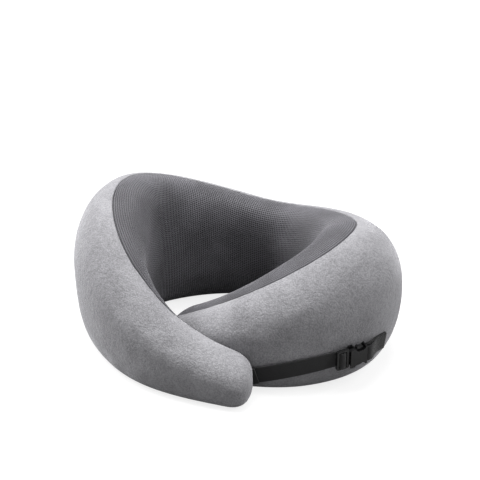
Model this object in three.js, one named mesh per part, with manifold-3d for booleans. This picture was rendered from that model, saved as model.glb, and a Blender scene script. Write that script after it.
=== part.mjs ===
// U-shaped travel neck pillow, lying on its base with the front tips crossed.
// A foam core sits in a thin liner inside a two-fabric cover: plush outside, spacer mesh against the neck.
// A zip along the low back lets the cover off. A webbing strap on the left tip closes on the right arm
// with a side-release buckle.
//
// Millimetres and degrees. +X is the right arm's side, +Y is the back, +Z is up, and the base is at z = 0.
// The centre line is one curve: right tip at t = 0, back centre at t = 6 and left tip at t = 12.
// A section angle of 0 points away from the neck, 90 is the crest and 180 faces the neck.

import * as THREE from 'three';
import { mergeVertices } from 'three/addons/utils/BufferGeometryUtils.js';
import Module from 'manifold-3d';

const wasm = await Module();
wasm.setup();

// ---- Driving dimensions: the pillow's form, back centre first and tip last ----
const RIGHT_PATH = [[0, 96], [52, 85], [101, 43], [113, 1], [86, -40], [25, -67.5], [-43, -44]];
const LEFT_PATH = [[0, 96], [-52, 85], [-100.5, 48], [-118, -1], [-93.5, -65.5], [-32, -108], [57, -101.8]];
const RIGHT_HALF_THICKNESS = [22.5, 33, 39.6, 39.4, 33.2, 25.5, 21];
const LEFT_HALF_THICKNESS = [22.5, 33.3, 40, 40.2, 27.7, 16.4, 16.2];
const RIGHT_CREST = [92, 102.7, 118, 126.5, 109.7, 76.4, 35.5];
const LEFT_CREST = [92, 106, 128.3, 139.3, 115.8, 64.5, 34];
const RIGHT_SEAM_ANGLE = [79, 82, 83.4, 82.3, 77.1, 70.3, 61.5];
const LEFT_SEAM_ANGLE = [79, 82, 82, 78, 82.5, 98, 112];
const WAIST_FRACTION = [0.49, 0.495, 0.5, 0.53, 0.56, 0.535, 0.51];
const RIGHT_LOWER_POWER = [2, 1.95, 1.97, 1.7, 1.61, 1.9, 2.15];
const LEFT_LOWER_POWER = [2, 1.9, 1.75, 2.05, 2.5, 2.36, 1.95];
const UPPER_POWER = 2.3;
const OUTER_POWER = 2.4;
const NECK_POWER = 2.65;
const LOWER_DEPTH = 1.04;
const CREST_LEAN_BACK = -4.5;
const CREST_LEAN_ARM = -9;
const RIGHT_FOOT_FLARE = 9.2;
const LEFT_FOOT_FLARE = 3.5;
const TIP_ROUND = 20;

// The plan above is drawn about its own point; the part's origin is the middle of its base box.
const BASE_MIDDLE = new THREE.Vector3(-1.770, -1.029, 0);

// ---- Driving dimensions: layers, from the outside in ----
const COVER_THICKNESS = 3;
const LAYER_GAP = 0.3;
const LINER_THICKNESS = 0.8;
const LOWER_SEAM_ANGLE = 262;
const PANEL_END = 21;
const PANEL_TAPER = 16;
const PANEL_MIDDLE_ANGLE = 172;
const SEAM_GAP_ANGLE = 0.4;

// ---- Driving dimensions: where the foam flexes ----
const STATIONS = 12;
const MIDDLE = STATIONS / 2;
const FLEX_STATION = 1.85;
const FLEX_GAP = 0.6;

// ---- Driving dimensions: zip along the low back ----
const ZIP_HEIGHT = 22;
const ZIP_CENTRE_Y = -82;
const ZIP_RADIUS = 197.4;
const ZIP_HALF_ANGLE = 20;
const ZIP_LEAN = 0.23;
const ZIP_TAPE_WIDTH = 7;
const ZIP_TAPE_THICKNESS = 0.7;
const ZIP_RECESS = 1.7;
const ZIP_COIL_WIDTH = 3;
const ZIP_COIL_THICKNESS = 1.6;
const ZIP_REST_ANGLE = 17.5;

// ---- Driving dimensions: strap and buckle ----
const WEBBING_WIDTH = 16;
const WEBBING_THICKNESS = 1.4;
const STRAP_START_STATION = 1.24;
const STRAP_END_STATION = 3;
const BUCKLE_STATION = 2.37;
const STRAP_START_HEIGHT = 14.5;
const STRAP_END_HEIGHT = 33;
const STRAP_CLIMB_POWER = 2.3;
const HEM_STATIONS = [1.26, 1.34];
const PATCH_STATIONS = [2.79, 2.94];
const STRAP_STANDOFF = 1;
const BUCKLE_STANDOFF = 4.9;
const BUCKLE_WIDTH = 20;
const FRAME_LENGTH = 11.5;
const FRAME_THICKNESS = 3.2;
const SOCKET_LENGTH = 19;
const SOCKET_PLATE = 1.2;
const SOCKET_HALF_GAP = 2.5;
const LOOP_WALL = 1.1;
const PATCH_THICKNESS = 2.4;
const PATCH_STANDOFF = 0.9;
const THREAD = 0.6;
const STITCH_GAP = 0.3;

// ---- Small helpers ----
const radians = THREE.MathUtils.degToRad;
const clamp01 = (value) => THREE.MathUtils.clamp(value, 0, 1);
const signedPower = (value, power) => Math.sign(value) * Math.abs(value) ** power;
const joinSides = (right, left) => [...right.slice().reverse(), ...left.slice(1)];

const FORM = {
  x: joinSides(RIGHT_PATH, LEFT_PATH).map((point) => point[0]),
  y: joinSides(RIGHT_PATH, LEFT_PATH).map((point) => point[1]),
  halfThickness: joinSides(RIGHT_HALF_THICKNESS, LEFT_HALF_THICKNESS),
  crest: joinSides(RIGHT_CREST, LEFT_CREST),
  seam: joinSides(RIGHT_SEAM_ANGLE, LEFT_SEAM_ANGLE),
  waist: joinSides(WAIST_FRACTION, WAIST_FRACTION),
  lowerPower: joinSides(RIGHT_LOWER_POWER, LEFT_LOWER_POWER),
};

// Uniform cubic B-spline through the stations, with mirrored ends.
function spline(values, t) {
  const last = values.length - 1;
  const control = [2 * values[0] - values[1], ...values, 2 * values[last] - values[last - 1]];
  const i = Math.min(Math.max(Math.floor(t), 0), last - 1);
  const f = t - i;
  const weights = [
    (1 - f) ** 3 / 6,
    (3 * f ** 3 - 6 * f ** 2 + 4) / 6,
    (-3 * f ** 3 + 3 * f ** 2 + 3 * f + 1) / 6,
    f ** 3 / 6,
  ];
  return weights.reduce((sum, weight, k) => sum + weight * control[i + k], 0);
}

// Arc length along the centre line, as a table from t = 0 to t = 12.
const ARC_STEPS = 2400;
const ARC_TABLE = [0];
for (let i = 1; i <= ARC_STEPS; i += 1) {
  const before = (STATIONS * (i - 1)) / ARC_STEPS;
  const after = (STATIONS * i) / ARC_STEPS;
  const stepX = spline(FORM.x, after) - spline(FORM.x, before);
  const stepY = spline(FORM.y, after) - spline(FORM.y, before);
  ARC_TABLE.push(ARC_TABLE[i - 1] + Math.hypot(stepX, stepY));
}
const TOTAL_ARC = ARC_TABLE[ARC_STEPS];

function arcAt(t) {
  const place = (t / STATIONS) * ARC_STEPS;
  const i = Math.min(Math.floor(place), ARC_STEPS - 1);
  return ARC_TABLE[i] + (place - i) * (ARC_TABLE[i + 1] - ARC_TABLE[i]);
}

function stationAt(arc) {
  let i = ARC_TABLE.findIndex((length) => length >= arc);
  i = i < 1 ? 1 : i;
  const step = ARC_TABLE[i] - ARC_TABLE[i - 1];
  return ((i - 1 + (arc - ARC_TABLE[i - 1]) / step) / ARC_STEPS) * STATIONS;
}

const endDistance = (arc) => Math.min(arc, TOTAL_ARC - arc);

// Centre line point and the horizontal direction away from the neck.
function pathFrame(t) {
  const step = 0.01;
  const low = Math.max(t - step, 0);
  const high = Math.min(t + step, STATIONS);
  const tangent = new THREE.Vector2(
    spline(FORM.x, high) - spline(FORM.x, low),
    spline(FORM.y, high) - spline(FORM.y, low),
  ).normalize();
  return { x: spline(FORM.x, t), y: spline(FORM.y, t), outX: tangent.y, outY: -tangent.x };
}

function sectionValues(t) {
  const crest = spline(FORM.crest, t);
  const away = Math.abs(t - MIDDLE) / MIDDLE;
  const flare = t < MIDDLE ? RIGHT_FOOT_FLARE : LEFT_FOOT_FLARE;
  return {
    crest,
    waist: spline(FORM.waist, t) * crest,
    halfThickness: spline(FORM.halfThickness, t),
    lowerPower: spline(FORM.lowerPower, t),
    lean: CREST_LEAN_BACK + (CREST_LEAN_ARM - CREST_LEAN_BACK) * clamp01(away / 0.45),
    flare: flare * clamp01((away - 0.3) / 0.4),
  };
}

// A point of the pillow's surface, moved inwards by inset. The arc is measured from the right tip.
function surfacePoint(arc, angle, inset) {
  const fromEnd = endDistance(arc);
  const capped = inset + (fromEnd * (TIP_ROUND - inset)) / TIP_ROUND;
  const distance = fromEnd < TIP_ROUND ? capped : fromEnd;
  const t = stationAt(arc < TOTAL_ARC / 2 ? distance : TOTAL_ARC - distance);
  const part = clamp01((distance - inset) / (TIP_ROUND - inset));
  const fullness = Math.cbrt(1 - (1 - part) ** 3);
  const section = sectionValues(stationAt(arc));
  const c = Math.cos(radians(angle));
  const s = Math.sin(radians(angle));
  const rise = (section.crest - section.waist - inset) * Math.abs(s) ** (2 / UPPER_POWER);
  const fall = (section.waist * LOWER_DEPTH - inset) * Math.abs(s) ** (2 / section.lowerPower);
  const z = Math.max(section.waist + (s > 0 ? rise : -fall) * fullness, inset);
  const above = clamp01((z - section.waist) / (section.crest - section.waist));
  const below = clamp01((section.waist - z) / section.waist);
  const power = c > 0 ? OUTER_POWER : NECK_POWER;
  const across = (section.halfThickness - inset) * signedPower(c, 2 / power) * fullness;
  const offset = across + section.lean * above ** 2 + section.flare * below ** 2 * fullness;
  const frame = pathFrame(t);
  return new THREE.Vector3(frame.x + frame.outX * offset, frame.y + frame.outY * offset, z);
}

// The point of the outer face at a station and a height.
function outerPoint(t, z, standoff) {
  const section = sectionValues(t);
  const above = clamp01((z - section.waist) / (section.crest - section.waist));
  const below = clamp01((section.waist - z) / (section.waist * LOWER_DEPTH));
  const s = above > 0 ? above ** (UPPER_POWER / 2) : below ** (section.lowerPower / 2);
  const foot = clamp01((section.waist - z) / section.waist);
  const across = section.halfThickness * Math.sqrt(1 - s * s) ** (2 / OUTER_POWER);
  const offset = across + section.lean * above ** 2 + section.flare * foot ** 2 + standoff;
  const frame = pathFrame(t);
  return new THREE.Vector3(frame.x + frame.outX * offset, frame.y + frame.outY * offset, z);
}

// ---- Geometry helpers ----
function closedGeometry(points, triangles) {
  const flat = points.flatMap((point) => point.toArray());
  let geometry = new THREE.BufferGeometry();
  geometry.setAttribute('position', new THREE.Float32BufferAttribute(flat, 3));
  geometry.setIndex(triangles.flat());
  geometry = mergeVertices(geometry, 1e-4);
  const index = Array.from(geometry.index.array);
  const kept = [];
  for (let i = 0; i < index.length; i += 3) {
    const [a, b, c] = index.slice(i, i + 3);
    if (a !== b && b !== c && c !== a) kept.push(a, b, c);
  }
  geometry.setIndex(kept);
  return signedVolume(geometry) < 0 ? flipped(geometry) : geometry;
}

function signedVolume(geometry) {
  const position = geometry.attributes.position;
  const index = geometry.index.array;
  const [a, b, c] = [new THREE.Vector3(), new THREE.Vector3(), new THREE.Vector3()];
  let volume = 0;
  for (let i = 0; i < index.length; i += 3) {
    a.fromBufferAttribute(position, index[i]);
    b.fromBufferAttribute(position, index[i + 1]);
    c.fromBufferAttribute(position, index[i + 2]);
    volume += a.dot(b.cross(c)) / 6;
  }
  return volume;
}

function flipped(geometry) {
  const index = Array.from(geometry.index.array);
  for (let i = 0; i < index.length; i += 3) [index[i], index[i + 1]] = [index[i + 1], index[i]];
  geometry.setIndex(index);
  return geometry;
}

function toManifold(geometry) {
  const bare = geometry.clone();
  bare.deleteAttribute('normal');
  bare.deleteAttribute('uv');
  const merged = mergeVertices(bare, 1e-4);
  const mesh = new wasm.Mesh({
    numProp: 3,
    vertProperties: new Float32Array(merged.attributes.position.array),
    triVerts: new Uint32Array(merged.index.array),
  });
  return new wasm.Manifold(mesh);
}

function fromManifold(solid) {
  const mesh = solid.getMesh();
  const geometry = new THREE.BufferGeometry();
  geometry.setAttribute('position', new THREE.Float32BufferAttribute(Array.from(mesh.vertProperties), 3));
  geometry.setIndex(Array.from(mesh.triVerts));
  return geometry;
}

const joined = (...parts) => fromManifold(parts.map(toManifold).reduce((sum, part) => sum.add(part)));
const cut = (base, ...tools) => fromManifold(
  tools.map(toManifold).reduce((rest, tool) => rest.subtract(tool), toManifold(base)),
);

// A box from its low and high corners.
function block(low, high) {
  const size = high.map((value, i) => value - low[i]);
  const box = new THREE.BoxGeometry(...size);
  return box.translate(...low.map((value, i) => value + size[i] / 2));
}

// A shape in the local x-z plane, extruded along y from yLow to yHigh.
function plate(shape, yLow, yHigh, curveSegments = 6) {
  const geometry = new THREE.ExtrudeGeometry(shape, {
    depth: yHigh - yLow,
    bevelEnabled: false,
    curveSegments,
  });
  return geometry.rotateX(Math.PI / 2).translate(0, yHigh, 0);
}

// ---- Pillow layers ----
const RIGHT_FLEX_ARC = arcAt(MIDDLE - FLEX_STATION);
const LEFT_FLEX_ARC = arcAt(MIDDLE + FLEX_STATION);
const PLUSH_COLUMNS = 14;
const MESH_COLUMNS = 6;
const CAP_ROWS = 5;
const ARM_ROWS = 12;
const BACK_ROWS = 12;
const PANEL_TAPER_ROWS = [0, 0.6, 2, 5, 10].map((distance) => PANEL_END + distance);
const PANEL_POINT = PANEL_END + 0.2;

function spread(from, to, steps) {
  return Array.from({ length: steps + 1 }, (_, i) => from + ((to - from) * i) / steps);
}

function armRows(flexArc) {
  const cap = spread(0, 1, CAP_ROWS).map((part) => TIP_ROUND * (1 - Math.cos((Math.PI / 2) * part)));
  const arm = spread(PANEL_END + PANEL_TAPER, flexArc - FLEX_GAP / 2, ARM_ROWS);
  return [...cap, ...PANEL_TAPER_ROWS, ...arm];
}

const ROWS = {
  right: armRows(RIGHT_FLEX_ARC),
  back: spread(RIGHT_FLEX_ARC + FLEX_GAP / 2, LEFT_FLEX_ARC - FLEX_GAP / 2, BACK_ROWS),
  left: armRows(TOTAL_ARC - LEFT_FLEX_ARC).map((arc) => TOTAL_ARC - arc).reverse(),
};

// How far the mesh panel is open at an arc: 1 from the right tip on, 0 from its rounded end to the left tip.
function panelOpening(arc) {
  const part = clamp01((TOTAL_ARC - arc - PANEL_END) / PANEL_TAPER);
  return Math.sqrt(1 - (1 - part) ** 2);
}

// Section angles where the mesh panel starts on the crest and ends under the neck side.
function panelAngles(arc) {
  const opening = panelOpening(arc);
  const seam = spline(FORM.seam, stationAt(arc));
  return {
    upper: PANEL_MIDDLE_ANGLE + (seam - PANEL_MIDDLE_ANGLE) * opening,
    lower: PANEL_MIDDLE_ANGLE + (LOWER_SEAM_ANGLE - PANEL_MIDDLE_ANGLE) * opening,
  };
}

const columnAngles = {
  plush: (arc) => {
    const { upper, lower } = panelAngles(arc);
    return spread(lower - 360, upper, PLUSH_COLUMNS);
  },
  mesh: (arc) => {
    const { upper, lower } = panelAngles(arc);
    const atPoint = TOTAL_ARC - arc < PANEL_END + LAYER_GAP;
    const range = atPoint
      ? [PANEL_MIDDLE_ANGLE, PANEL_MIDDLE_ANGLE]
      : [upper + SEAM_GAP_ANGLE, lower - SEAM_GAP_ANGLE];
    return spread(...range, MESH_COLUMNS);
  },
  ring: (arc) => {
    const { upper, lower } = panelAngles(arc);
    return [...spread(lower - 360, upper, PLUSH_COLUMNS), ...spread(upper, lower, MESH_COLUMNS).slice(1)];
  },
};

// A fabric layer between two insets: outer and inner faces, end walls, and walls along its open edges.
function layer(rows, angles, outerInset, innerInset, isOpen) {
  const columns = angles(rows[0]).length;
  const grid = [outerInset, innerInset].map((inset) => rows.map(
    (arc) => angles(arc).map((angle) => surfacePoint(arc, angle, inset)),
  ));
  const points = grid.flat(2);
  const at = (side, i, j) => (side * rows.length + i) * columns + j;
  const triangles = [];
  const quad = (a, b, c, d) => triangles.push([a, b, c], [a, c, d]);
  for (let i = 0; i < rows.length - 1; i += 1) {
    for (let j = 0; j < columns - 1; j += 1) {
      quad(at(0, i, j), at(0, i, j + 1), at(0, i + 1, j + 1), at(0, i + 1, j));
      quad(at(1, i, j), at(1, i + 1, j), at(1, i + 1, j + 1), at(1, i, j + 1));
    }
    if (isOpen(rows[i]) || isOpen(rows[i + 1])) {
      const j = columns - 1;
      quad(at(0, i, 0), at(0, i + 1, 0), at(1, i + 1, 0), at(1, i, 0));
      quad(at(0, i, j), at(1, i, j), at(1, i + 1, j), at(0, i + 1, j));
    }
  }
  const isTip = (arc) => arc <= 0 || arc >= TOTAL_ARC;
  const n = rows.length - 1;
  for (let j = 0; j < columns - 1; j += 1) {
    if (!isTip(rows[0])) quad(at(0, 0, j), at(1, 0, j), at(1, 0, j + 1), at(0, 0, j + 1));
    if (!isTip(rows[n])) quad(at(0, n, j), at(0, n, j + 1), at(1, n, j + 1), at(1, n, j));
  }
  return closedGeometry(points, triangles);
}

function plushCover(rows) {
  return layer(rows, columnAngles.plush, 0, COVER_THICKNESS, (arc) => panelOpening(arc) > 0);
}

// Before the left tip the mesh panel closes to a point just inside the end of its opening in the plush.
function meshPanel(rows) {
  const point = TOTAL_ARC - PANEL_POINT;
  const inPanel = rows.filter((arc) => arc < point);
  const all = rows.at(-1) > point ? [...inPanel, point] : inPanel;
  return layer(all, columnAngles.mesh, 0, COVER_THICKNESS, () => true);
}

function liner(rows) {
  const outer = COVER_THICKNESS + LAYER_GAP;
  return layer(rows, columnAngles.ring, outer, outer + LINER_THICKNESS, () => false);
}

// A foam length: a closed ring of columns with a flat face at each flex line.
function foamCore(rows) {
  const inset = COVER_THICKNESS + LINER_THICKNESS + 2 * LAYER_GAP;
  const grid = rows.map((arc) => columnAngles.ring(arc).map((angle) => surfacePoint(arc, angle, inset)));
  const columns = grid[0].length;
  const points = grid.flat();
  const triangles = [];
  for (let i = 0; i < rows.length - 1; i += 1) {
    for (let j = 0; j < columns - 1; j += 1) {
      const a = i * columns + j;
      triangles.push([a, a + 1, a + columns + 1], [a, a + columns + 1, a + columns]);
    }
  }
  [[0, rows[0]], [rows.length - 1, rows[rows.length - 1]]].forEach(([i, arc]) => {
    if (arc <= 0 || arc >= TOTAL_ARC) return;
    const centre = points.length;
    const sum = grid[i].slice(1).reduce((total, point) => total.add(point), new THREE.Vector3());
    points.push(sum.divideScalar(columns - 1));
    for (let j = 0; j < columns - 1; j += 1) {
      const a = i * columns + j;
      triangles.push(i === 0 ? [centre, a + 1, a] : [centre, a, a + 1]);
    }
  });
  return closedGeometry(points, triangles);
}

// ---- Zip along the low back ----
// A sector of a ring about the zip's own vertical axis, between two radii, heights and angles.
// Its radius grows with height, because the back leans outwards as it rises.
function ringSector(radiusLow, radiusHigh, zLow, zHigh, angleLow, angleHigh, steps = 24) {
  const shape = new THREE.Shape();
  const start = radians(90 + angleLow);
  const end = radians(90 + angleHigh);
  shape.absarc(0, 0, radiusHigh, start, end, false);
  shape.absarc(0, 0, radiusLow, end, start, true);
  const geometry = new THREE.ExtrudeGeometry(shape, {
    depth: zHigh - zLow,
    bevelEnabled: false,
    curveSegments: steps,
  });
  geometry.translate(0, 0, zLow);
  const position = geometry.attributes.position;
  for (let i = 0; i < position.count; i += 1) {
    const [x, y, z] = [position.getX(i), position.getY(i), position.getZ(i)];
    const grow = 1 + (ZIP_LEAN * (z - ZIP_HEIGHT)) / Math.hypot(x, y);
    position.setXY(i, x * grow, y * grow);
  }
  return geometry.translate(0, ZIP_CENTRE_Y, 0);
}

const ZIP_TAPE_RADIUS = ZIP_RADIUS - ZIP_RECESS + LAYER_GAP;
const ZIP_TAPE_INNER = ZIP_COIL_WIDTH / 2 + LAYER_GAP;

function coverWithZipRecess() {
  const half = ZIP_TAPE_INNER + ZIP_TAPE_WIDTH + LAYER_GAP;
  const ends = ZIP_HALF_ANGLE + 2;
  const recess = ringSector(
    ZIP_RADIUS - ZIP_RECESS, ZIP_RADIUS + 12, ZIP_HEIGHT - half, ZIP_HEIGHT + half, -ends, ends,
  );
  return cut(plushCover(ROWS.back), recess);
}

function zipTape(side) {
  const near = ZIP_HEIGHT + side * ZIP_TAPE_INNER;
  const far = near + side * ZIP_TAPE_WIDTH;
  return ringSector(
    ZIP_TAPE_RADIUS, ZIP_TAPE_RADIUS + ZIP_TAPE_THICKNESS,
    Math.min(near, far), Math.max(near, far), -ZIP_HALF_ANGLE - 1, ZIP_HALF_ANGLE + 1,
  );
}

function zipCoil() {
  const half = ZIP_COIL_WIDTH / 2;
  return ringSector(
    ZIP_TAPE_RADIUS, ZIP_TAPE_RADIUS + ZIP_COIL_THICKNESS,
    ZIP_HEIGHT - half, ZIP_HEIGHT + half, -ZIP_HALF_ANGLE, ZIP_HALF_ANGLE,
  );
}

function zipStop(side) {
  const half = ZIP_COIL_WIDTH / 2 + 0.8;
  const low = side * (ZIP_HALF_ANGLE - 0.9);
  const high = side * ZIP_HALF_ANGLE;
  const radius = ZIP_TAPE_RADIUS + ZIP_COIL_THICKNESS + LAYER_GAP;
  return ringSector(
    radius, radius + 1, ZIP_HEIGHT - half, ZIP_HEIGHT + half, Math.min(low, high), Math.max(low, high), 2,
  );
}

// The slider is drawn at the origin: x along the zip, y outwards from the tape's face, z across the zip.
const SLIDER_LENGTH = 8;
const SLIDER_HALF_WIDTH = 3.6;
const SLIDER_PLATE = 1.2;
const SLIDER_TOP = ZIP_COIL_THICKNESS + LAYER_GAP + SLIDER_PLATE;
const PULL_AXIS_HEIGHT = SLIDER_TOP + 1.3;
const PULL_BAR_RADIUS = 0.6;
const BRIDGE_HALF_WIDTH = 0.9;
const BRIDGE_HALF_LENGTH = 2.6;

function zipSliderShape() {
  const x = SLIDER_LENGTH / 2;
  const flangeTop = ZIP_TAPE_THICKNESS + LAYER_GAP;
  const coilSide = ZIP_COIL_WIDTH / 2 + 0.8;
  const plateLow = SLIDER_TOP - SLIDER_PLATE;
  const bridgeTop = PULL_AXIS_HEIGHT + 1.9;
  const half = BRIDGE_HALF_LENGTH;
  const wide = BRIDGE_HALF_WIDTH;
  return joined(
    block([-x, plateLow, -SLIDER_HALF_WIDTH], [x, SLIDER_TOP, SLIDER_HALF_WIDTH]),
    block([-x, flangeTop, coilSide], [x, SLIDER_TOP, SLIDER_HALF_WIDTH]),
    block([-x, flangeTop, -SLIDER_HALF_WIDTH], [x, SLIDER_TOP, -coilSide]),
    block([-half, plateLow, -wide], [-half + 1, bridgeTop, wide]),
    block([half - 1, plateLow, -wide], [half, bridgeTop, wide]),
    block([-half, bridgeTop - 0.9, -wide], [half, bridgeTop, wide]),
  );
}

// The pull hangs from a bar under the slider's bridge and lies along the zip.
function zipPullShape() {
  const armInner = BRIDGE_HALF_WIDTH + 0.4;
  const armOuter = armInner + 1.1;
  const eyeEnd = 4.6;
  const tabEnd = 21;
  const low = PULL_AXIS_HEIGHT - PULL_BAR_RADIUS;
  const high = PULL_AXIS_HEIGHT + PULL_BAR_RADIUS;
  const bar = new THREE.CylinderGeometry(PULL_BAR_RADIUS, PULL_BAR_RADIUS, 2 * armOuter, 12);
  bar.rotateX(Math.PI / 2).translate(0, PULL_AXIS_HEIGHT, 0);
  const tab = new THREE.Shape();
  tab.moveTo(eyeEnd, -armOuter);
  tab.lineTo(tabEnd - 3, -3);
  tab.absarc(tabEnd - 3, 0, 3, -Math.PI / 2, Math.PI / 2, false);
  tab.lineTo(eyeEnd, armOuter);
  return joined(
    bar,
    block([0, low, armInner], [eyeEnd + 1, high, armOuter]),
    block([0, low, -armOuter], [eyeEnd + 1, high, -armInner]),
    plate(tab, low, high),
  );
}

// Places a shape drawn in the slider's frame on the zip's arc, as a turn about the zip's axis.
function onZip(geometry) {
  return geometry
    .rotateX(-Math.atan(ZIP_LEAN))
    .translate(0, ZIP_TAPE_RADIUS, ZIP_HEIGHT)
    .rotateZ(radians(ZIP_REST_ANGLE))
    .translate(0, ZIP_CENTRE_Y, 0);
}

// ---- Strap, buckle and their sewn ends ----
// The strap's centre line climbs from the left tip to the buckle over the right arm's outer face.
function strapHeight(t) {
  const left = clamp01((STRAP_END_STATION - t) / (STRAP_END_STATION - STRAP_START_STATION));
  return STRAP_END_HEIGHT - (STRAP_END_HEIGHT - STRAP_START_HEIGHT) * left ** STRAP_CLIMB_POWER;
}

// A flat band lying along the right arm's outer face between two stations.
function band(tLow, tHigh, steps, standoff, thickness) {
  const points = [];
  spread(tLow, tHigh, steps).forEach((t) => {
    const middle = strapHeight(t);
    [[-1, 0], [1, 0], [1, 1], [-1, 1]].forEach(([side, layerSide]) => {
      points.push(outerPoint(t, middle + (side * WEBBING_WIDTH) / 2, standoff + layerSide * thickness));
    });
  });
  const triangles = [[0, 1, 2], [0, 2, 3]];
  for (let i = 0; i < steps; i += 1) {
    for (let j = 0; j < 4; j += 1) {
      const a = 4 * i + j;
      const b = 4 * i + ((j + 1) % 4);
      triangles.push([a, a + 4, b + 4], [a, b + 4, b]);
    }
  }
  const end = 4 * steps;
  triangles.push([end, end + 2, end + 1], [end, end + 3, end + 2]);
  return closedGeometry(points, triangles);
}

// The buckle's frame: x from the strap towards the socket, y towards the pillow, z across the strap.
function buckleFrame() {
  const t = BUCKLE_STATION;
  const step = 0.12;
  const origin = outerPoint(t, strapHeight(t), BUCKLE_STANDOFF);
  const ahead = outerPoint(t + step, strapHeight(t + step), 0);
  const behind = outerPoint(t - step, strapHeight(t - step), 0);
  const half = WEBBING_WIDTH / 2;
  const top = outerPoint(t, strapHeight(t) + half, 0);
  const bottom = outerPoint(t, strapHeight(t) - half, 0);
  const x = ahead.sub(behind).normalize();
  const y = top.sub(bottom).cross(x).normalize();
  const z = x.clone().cross(y);
  return new THREE.Matrix4().makeBasis(x, y, z).setPosition(origin);
}

// Ladder-lock frame, shoulder and guide tongue of the plug.
const BAR_LOW = -7;
const BAR_HIGH = -5.2;
function buckleMale() {
  const y = FRAME_THICKNESS / 2;
  const z = BUCKLE_WIDTH / 2;
  const outline = new THREE.Shape();
  outline.moveTo(-FRAME_LENGTH, -z + 1);
  outline.lineTo(-FRAME_LENGTH + 1, -z);
  outline.lineTo(-1, -z);
  outline.lineTo(0, -z + 1);
  outline.lineTo(0, z - 1);
  outline.lineTo(-1, z);
  outline.lineTo(-FRAME_LENGTH + 1, z);
  outline.lineTo(-FRAME_LENGTH, z - 1);
  const slot = WEBBING_WIDTH / 2 + 0.5;
  const frame = cut(
    plate(outline, -y, y),
    block([-FRAME_LENGTH + 1.8, -y - 1, -slot], [BAR_LOW, y + 1, slot]),
    block([BAR_HIGH, -y - 1, -slot], [-2.6, y + 1, slot]),
  );
  const tongue = new THREE.Shape();
  tongue.moveTo(-1, -1.3);
  tongue.lineTo(9.5, -1.3);
  tongue.lineTo(11, -0.6);
  tongue.lineTo(11, 0.6);
  tongue.lineTo(9.5, 1.3);
  tongue.lineTo(-1, 1.3);
  return joined(frame, plate(tongue, -1.3, 1.3));
}

// The end of the strap folded over the middle bar.
function strapFold() {
  const inner = FRAME_THICKNESS / 2 + LAYER_GAP;
  const outer = inner + WEBBING_THICKNESS - 0.2;
  const z = WEBBING_WIDTH / 2;
  const low = BAR_LOW - LAYER_GAP;
  const high = BAR_HIGH + LAYER_GAP;
  const wall = 1.1;
  return joined(
    block([low - wall, -outer, -z], [high + wall, -inner, z]),
    block([low - wall, -inner - 0.1, -z], [low, inner, z]),
    block([high, -inner - 0.1, -z], [high + wall, inner, z]),
  );
}

// A sprung prong: an arm from the shoulder to a barbed head that doubles as the squeeze button.
function prong(side) {
  const half = 1.7;
  const shape = new THREE.Shape();
  shape.moveTo(LAYER_GAP, 5.5);
  shape.lineTo(9, 5.9);
  shape.lineTo(14, 6.4);
  shape.quadraticCurveTo(14.2, 8.2, 12.2, 9.2);
  shape.quadraticCurveTo(9.5, 10.4, 6.6, 10);
  shape.lineTo(6.6, 8);
  shape.lineTo(LAYER_GAP, 7.4);
  const geometry = plate(shape, -half, half);
  return side > 0 ? geometry : geometry.rotateX(Math.PI);
}

// Socket: two plates joined at the back and by two guide ribs, with a bar for the anchor loop.
function buckleFemale() {
  const low = SOCKET_HALF_GAP;
  const high = SOCKET_HALF_GAP + SOCKET_PLATE;
  const mouth = BUCKLE_WIDTH / 2 - 0.2;
  const neck = 6.3;
  const back = 9.2;
  const wallStart = 14.6;
  const wallEnd = 15.8;
  const outline = new THREE.Shape();
  outline.moveTo(LAYER_GAP + 0.1, -mouth);
  outline.lineTo(4.5, -mouth);
  outline.quadraticCurveTo(6, -neck, 9.5, -neck);
  outline.quadraticCurveTo(13, -neck, 14.4, -back);
  outline.lineTo(wallEnd, -back);
  outline.lineTo(wallEnd, back);
  outline.lineTo(14.4, back);
  outline.quadraticCurveTo(13, neck, 9.5, neck);
  outline.quadraticCurveTo(6, neck, 4.5, mouth);
  outline.lineTo(LAYER_GAP + 0.1, mouth);
  const rib = [3.4, 4.2];
  const rail = WEBBING_WIDTH / 2 + 0.4;
  return joined(
    plate(outline, -high, -low),
    plate(outline, low, high),
    block([wallStart, -high, -back], [wallEnd, high, back]),
    block([6, -high, rib[0]], [wallEnd, high, rib[1]]),
    block([6, -high, -rib[1]], [wallEnd, high, -rib[0]]),
    block([wallStart, -1.2, rail], [SOCKET_LENGTH, 1.2, back]),
    block([wallStart, -1.2, -back], [SOCKET_LENGTH, 1.2, -rail]),
    block([SOCKET_LENGTH - 1.6, -1.2, -back], [SOCKET_LENGTH, 1.2, back]),
  );
}

// The two places where the anchor webbing's sewn patch meets the cover, in the buckle's frame.
function patchFeet() {
  const toBuckle = buckleFrame().invert();
  return PATCH_STATIONS.map((t) => outerPoint(t, strapHeight(t), PATCH_STANDOFF).applyMatrix4(toBuckle));
}

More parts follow.
